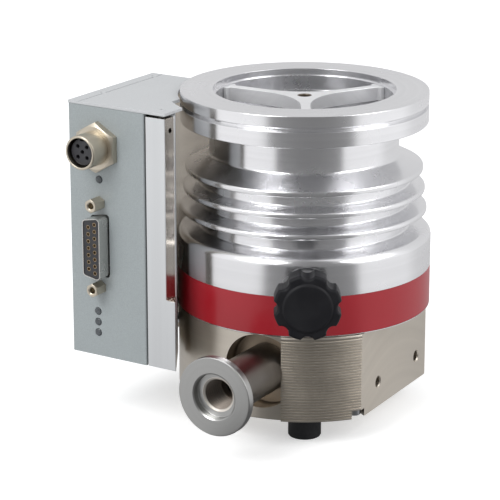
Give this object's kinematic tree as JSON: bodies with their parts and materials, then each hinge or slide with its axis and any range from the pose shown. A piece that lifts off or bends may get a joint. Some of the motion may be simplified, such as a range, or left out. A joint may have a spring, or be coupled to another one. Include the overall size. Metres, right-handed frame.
{
  "type": "turbomolecular pump",
  "caption": "Small turbomolecular pump with a clamp-type inlet flange, cooling fins, red band, vent knob, foreline port and its drive electronics on a side bracket.",
  "frame": {"origin": "centre of the inlet flange's sealing face", "axes": "+Z along the rotor's axis, out of the inlet; -Y towards the vent knob"},
  "size_m": [0.1388, 0.1301, 0.127],
  "materials": {
    "housing_aluminium": "bright turned",
    "band_red": "satin red",
    "bearing_steel": "ground",
    "magnet_metal": "dull nickel",
    "stage_aluminium": "milled",
    "base_nickel": "champagne nickel plating",
    "seal_rubber": "matt",
    "screw_steel": "zinc plated",
    "motor_iron": "laminated",
    "winding_copper": "enamelled copper",
    "holder_steel": "turned",
    "felt": "oiled felt",
    "port_steel": "satin",
    "foot_rubber": "matt",
    "bracket_aluminium": "satin",
    "case_paint": "fine blue-grey",
    "cover_paint": "satin light grey",
    "board_green": "solder mask",
    "socket_metal": "nickel plated",
    "insert_plastic": "moulded",
    "light_lens": "clear unlit",
    "knob_plastic": "moulded black",
    "ball_ceramic": "polished ceramic",
    "cage_polymer": "moulded"
  },
  "bodies": {
    "pump": {"pump_housing": "housing_aluminium", "colour_band": "band_red", "inlet_star": "housing_aluminium", "safety_bearing": "bearing_steel", "magnet_stack_fixed": "magnet_metal", "stator_disc_1": "stage_aluminium", "stator_disc_2": "stage_aluminium", "stator_disc_3": "stage_aluminium", "stator_disc_4": "stage_aluminium", "spacer_ring_1": "stage_aluminium", "spacer_ring_2": "stage_aluminium", "spacer_ring_3": "stage_aluminium", "spacer_ring_4": "stage_aluminium", "holweck_stator": "stage_aluminium", "base_housing": "base_nickel", "base_seal": "seal_rubber", "base_screws": "screw_steel", "motor_core": "motor_iron", "motor_windings": "winding_copper", "bearing_outer_ring": "bearing_steel", "bearing_holder": "holder_steel", "oil_felt": "felt", "reservoir_cap": "base_nickel", "cap_seal": "seal_rubber", "foreline_port": "port_steel", "port_seal": "seal_rubber", "port_screw": "screw_steel", "vent_body": "holder_steel", "rubber_feet": "foot_rubber", "foot_screws": "screw_steel", "controller_bracket": "bracket_aluminium", "controller_case": "case_paint", "controller_panel": "case_paint", "controller_cover": "cover_paint", "cover_screws": "screw_steel", "circuit_board": "board_green", "power_socket": "socket_metal", "power_socket_insert": "insert_plastic", "power_socket_nut": "socket_metal", "data_socket_shell": "socket_metal", "data_socket_insert": "insert_plastic", "jack_screws": "screw_steel", "status_lights": "light_lens", "bracket_screws": "screw_steel"},
    "rotor": {"rotor_shaft": "stage_aluminium", "rotor_disc_1": "stage_aluminium", "rotor_disc_2": "stage_aluminium", "rotor_disc_3": "stage_aluminium", "rotor_disc_4": "stage_aluminium", "rotor_disc_5": "stage_aluminium", "holweck_sleeve": "stage_aluminium", "magnet_stack_rotor": "magnet_metal", "motor_magnet": "magnet_metal", "bearing_inner_ring": "bearing_steel", "shaft_nut": "holder_steel"},
    "cage": {"bearing_cage": "cage_polymer", "bearing_balls": "ball_ceramic"},
    "vent_seal_slide": {"vent_seal": "seal_rubber"},
    "vent_knob_turn": {"vent_spindle": "holder_steel", "vent_knob": "knob_plastic"}
  },
  "joints": [
    {"name": "rotor_spin", "type": "hinge", "parent": "pump", "child": "rotor", "pos_m": [0, 0, -0.06], "axis": [0, 0, 1], "continuous": true},
    {"name": "cage_spin", "type": "hinge", "parent": "pump", "child": "cage", "pos_m": [0, 0, -0.095], "axis": [0, 0, 1], "continuous": true},
    {"name": "vent_travel", "type": "slide", "parent": "pump", "child": "vent_seal_slide", "axis": [0, -1, 0], "range_m": [0, 0.0015]},
    {"name": "vent_turn", "type": "hinge", "parent": "vent_seal_slide", "child": "vent_knob_turn", "pos_m": [0, -0.055, -0.0652], "axis": [0, -1, 0], "range_deg": [0, 540]}
  ],
  "couplings": [
    {"joint": "cage_spin", "follows": "rotor_spin", "ratio": 0.36},
    {"joint": "vent_travel", "follows": "vent_turn", "m_per_rad": 0.000159}
  ]
}
